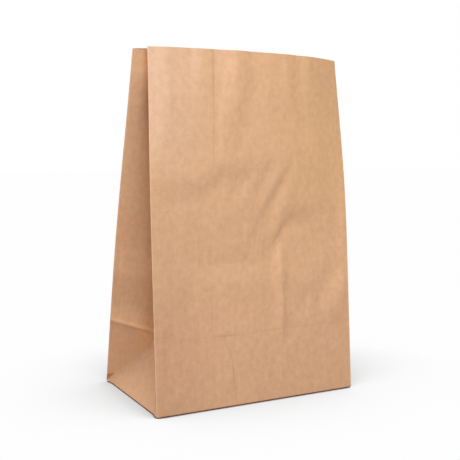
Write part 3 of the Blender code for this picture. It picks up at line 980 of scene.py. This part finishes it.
def kraft_paper(settings, bag):
    """Unbleached paper: upright machine streaks, cloudy formation, fibres and specks, with painted shade
    along creases, painted light and shade over the front and the left gusset, and folds lighter from
    wear and a painted highlight.
    """
    material = bpy.data.materials.new("kraft_paper")
    tree = ShaderTree(material)
    sheet = tree.node("ShaderNodeUVMap", {"uv_map": "sheet"}, {})
    across = tree.node("ShaderNodeSeparateXYZ", {}, [sheet], 0)
    up = tree.node("ShaderNodeSeparateXYZ", {}, [sheet], 1)
    patterns = paper_patterns(tree, sheet)
    speck = tree.noise(tree.scaled(sheet, (700.0, 350.0, 1.0)), 1.0, 1.0).smooth(0.74, 0.80)
    tone = weighed(patterns, IN_TONE, 0.5)
    crease_shade_and_dent = 0.0
    for start, end, depth in CREASE_SHADE_LINES:
        shade = groove(across, up, start, end, GROOVE_WIDTH) * (depth * GROOVE_SHADE)
        crease_shade_and_dent = shade.most(crease_shade_and_dent)
    kraft = Vector(settings.kraft)
    deep, pale = (opaque(kraft * Vector(share)) for share in (DEEP_KRAFT, PALE_KRAFT))
    colour = tree.mix(tone.clamped(), deep, pale)
    colour = tree.mix(speck * SPECK_SHARE, colour, opaque(settings.shive))
    # Painted shade along the crease lines
    colour = tree.mix(crease_shade_and_dent, colour, opaque(kraft * GROOVE_SHADE_COLOUR))
    # Painted light and shade over the front and the left gusset
    colour = front_tone(tree, colour, across, up)
    colour = gusset_tone(tree, colour, across, up, bag)
    # Folds and foot lighter from wear, and with a painted highlight along their edges
    side = abs(across)
    wear_and_highlight = 0.0
    for place in (bag.half_width, bag.half_width + 2 * bag.half_depth):
        wear_and_highlight = (1.0 - abs(side - place).smooth(0.0, FOLD_WEAR_AND_HIGHLIGHT)).most(wear_and_highlight)
    wear_and_highlight = (1.0 - abs(up).smooth(0.0, FOOT_WEAR_AND_HIGHLIGHT)).most(wear_and_highlight)
    wear_and_highlight = wear_and_highlight * (WEAR_AND_HIGHLIGHT_LEAST + patterns["cloud"] * WEAR_AND_HIGHLIGHT_CLOUDY)
    colour = tree.mix(wear_and_highlight, colour, opaque(settings.fibre_and_fold_highlight))
    height = weighed(patterns, IN_SURFACE, 0.0) - crease_shade_and_dent * GROOVE_DEPTH
    bump = tree.node("ShaderNodeBump", {}, {**BUMP, "Height": height})
    rough = ROUGHNESS + (patterns["grain"] - 0.5) * ROUGHNESS_SPREAD
    inputs = {"Base Color": colour, "Roughness": rough, "Normal": bump}
    shader = tree.node("ShaderNodeBsdfPrincipled", {}, inputs)
    tree.add("ShaderNodeOutputMaterial", {}, {"Surface": shader})
    return material


def finished(mesh, name, material):
    """A mesh as an object at the origin, with its material."""
    data = bpy.data.meshes.new(name)
    mesh.to_mesh(data)
    mesh.free()
    data.materials.append(material)
    piece = bpy.data.objects.new(name, data)
    bpy.context.scene.collection.objects.link(piece)
    return piece


class BAG_OT_fold_bag(bpy.types.Operator):
    """Fold the sheet of kraft paper into the standing bag"""

    bl_idname = "paper_bag.fold_bag"
    bl_label = "Fold the Bag"

    def execute(self, context):
        scene = context.scene
        bag = StandingBag(scene.bag_sheet, scene.bag_stance)
        mesh = BagMesh(bag).build()
        piece = finished(mesh, "kraft_bag", kraft_paper(scene.bag_paper, bag))
        piece.data.shade_smooth()
        piece.data.set_sharp_from_angle(angle=SHARP_ANGLE)
        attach(piece, "root")
        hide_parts(NODE)
        return {"FINISHED"}


SHADE_SAMPLES = 24


def floor_shade(tree, distance, towards):
    """How much of the floor's view in a direction the bag covers."""
    normal = tree.node("ShaderNodeCombineXYZ", {}, towards)
    inputs = {"Distance": distance, "Normal": normal}
    free = tree.node("ShaderNodeAmbientOcclusion", {"samples": SHADE_SAMPLES}, inputs, 1)
    return (1.0 - free).clamped()


# Shade on the floor: how far it reaches, the side it looks to, its sharpness and its strength
FLOOR_SHADES = (
    (0.13, (0.0, 0.0, 1.0), 1.9, 0.55),
    (0.14, (-0.60, -0.70, 0.38), 1.5, 0.90),
    (0.12, (0.28, -0.90, 0.33), 1.5, 0.45),
    (0.018, (0.80, -0.40, 0.45), 1.5, 0.20),
)
# Painted shadow under the bottom folds: its reach and the edges of its change
CONTACT_REACH = 0.008
CONTACT_EDGE = (0.28, 0.50)


def floor_material(settings):
    """A pale floor that the camera sees as white, but for the shade close to the bag."""
    material = bpy.data.materials.new("pale_floor")
    tree = ShaderTree(material)
    camera = tree.node("ShaderNodeLightPath", {}, {}, 0)
    shade = 0.0
    for reach, towards, sharpness, strength in FLOOR_SHADES:
        shade = floor_shade(tree, reach, towards) ** sharpness * strength + shade
    colour = tree.mix(shade.clamped(), opaque(settings.floor), opaque(settings.shadow))
    # Painted shadow right under the bottom folds
    close = floor_shade(tree, CONTACT_REACH, (0.0, 0.0, 1.0)).smooth(*CONTACT_EDGE)
    colour = tree.mix(close, colour, opaque(settings.contact_shadow))
    seen = tree.node("ShaderNodeEmission", {}, {"Color": colour, "Strength": 1.0})
    bounce = tree.node("ShaderNodeBsdfDiffuse", {}, {"Color": opaque(settings.bounce)})
    both = tree.node("ShaderNodeMixShader", {}, {0: camera, 1: bounce, 2: seen})
    tree.add("ShaderNodeOutputMaterial", {}, {"Surface": both})
    return material


# Each lamp's place, power in watts and colour; all of them face the bag's middle
LAMPS = {
    "key": ((-0.37, -1.13, 1.22), 37.3, (1.0, 1.0, 1.0)),
    "back": ((-0.41, 1.12, 1.22), 34.3, (1.0, 0.85, 0.79)),
    "side": ((1.15, 0.85, 0.60), 14.0, (1.0, 0.92, 0.87)),
}
LAMP_SIZE = 0.9
LAMP_TARGET = (0.0, 0.0, 0.15)
ROOM_LIGHT = 0.01
FLOOR_HALF = 6.0
SENSOR_WIDTH = 36.0


def area_lamp(name, place, power, colour):
    data = bpy.data.lights.new(name, "AREA")
    data.shape = "SQUARE"
    data.size = LAMP_SIZE
    data.energy = power
    data.color = colour
    lamp = bpy.data.objects.new(name, data)
    lamp.location = place
    heading = (Vector(LAMP_TARGET) - Vector(place)).to_track_quat("-Z", "Y")
    lamp.rotation_euler = heading.to_euler()
    bpy.context.scene.collection.objects.link(lamp)


class BAG_OT_set_stage(bpy.types.Operator):
    """Lay the floor and set the lamps and the camera"""

    bl_idname = "paper_bag.set_stage"
    bl_label = "Set the Stage"

    def execute(self, context):
        settings = context.scene.bag_stage
        self.lay_floor(settings)
        self.hang_lamps(context.scene)
        self.place_camera(context.scene, settings)
        context.scene.view_settings.view_transform = "Standard"
        return {"FINISHED"}

    def lay_floor(self, settings):
        mesh = bmesh.new()
        bmesh.ops.create_grid(mesh, x_segments=2, y_segments=2, size=FLOOR_HALF)
        floor = finished(mesh, "floor", floor_material(settings))

    def hang_lamps(self, scene):
        world = bpy.data.worlds.new("studio")
        scene.world = world
        tree = ShaderTree(world)
        camera = tree.node("ShaderNodeLightPath", {}, {}, 0)
        white = opaque((1.0, 1.0, 1.0))
        dim, bright = (
            tree.node("ShaderNodeBackground", {}, {"Color": white, "Strength": strength})
            for strength in (ROOM_LIGHT, 1.0)
        )
        seen = tree.node("ShaderNodeMixShader", {}, {0: camera, 1: dim, 2: bright})
        tree.add("ShaderNodeOutputWorld", {}, {"Surface": seen})
        for name, (place, power, colour) in LAMPS.items():
            area_lamp(name, place, power, colour)

    def place_camera(self, scene, settings):
        data = bpy.data.cameras.new("camera")
        data.sensor_width = SENSOR_WIDTH
        data.lens = settings.lens
        camera = bpy.data.objects.new("camera", data)
        turn = settings.camera_turn
        camera.location = (
            math.sin(turn) * settings.camera_distance,
            -math.cos(turn) * settings.camera_distance,
            settings.camera_height,
        )
        heading = turn + settings.camera_yaw
        camera.rotation_euler = (math.pi / 2 + settings.camera_pitch, 0.0, heading)
        scene.collection.objects.link(camera)
        scene.camera = camera


class BAG_PT_panel(bpy.types.Panel):
    """Sizes, paper and steps of the paper bag"""

    bl_label = "Paper Bag"
    bl_idname = "BAG_PT_panel"
    bl_space_type = "VIEW_3D"
    bl_region_type = "UI"
    bl_category = "Paper Bag"

    def draw(self, context):
        scene = context.scene
        for name, settings in (
            ("Sheet", scene.bag_sheet),
            ("Stance", scene.bag_stance),
            ("Paper", scene.bag_paper),
            ("Stage", scene.bag_stage),
        ):
            box = self.layout.box()
            box.label(text=name)
            for field in settings.bl_rna.properties:
                if field.identifier not in {"rna_type", "name"}:
                    box.prop(settings, field.identifier)
        for operator in OPERATORS:
            self.layout.operator(operator.bl_idname)


SETTINGS = {
    "bag_sheet": SheetSettings,
    "bag_stance": StanceSettings,
    "bag_paper": PaperSettings,
    "bag_stage": StageSettings,
}
OPERATORS = (BAG_OT_fold_bag, BAG_OT_set_stage)


def register():
    for group in SETTINGS.values():
        bpy.utils.register_class(group)
    for name, group in SETTINGS.items():
        setattr(bpy.types.Scene, name, bpy.props.PointerProperty(type=group))
    for operator in OPERATORS:
        bpy.utils.register_class(operator)
    bpy.utils.register_class(BAG_PT_panel)


def unregister():
    bpy.utils.unregister_class(BAG_PT_panel)
    for operator in reversed(OPERATORS):
        bpy.utils.unregister_class(operator)
    for name in SETTINGS:
        delattr(bpy.types.Scene, name)
    for group in reversed(SETTINGS.values()):
        bpy.utils.unregister_class(group)


def main():
    register()
    bpy.ops.paper_bag.fold_bag()
    bpy.ops.paper_bag.set_stage()


if __name__ == "__main__":
    main()
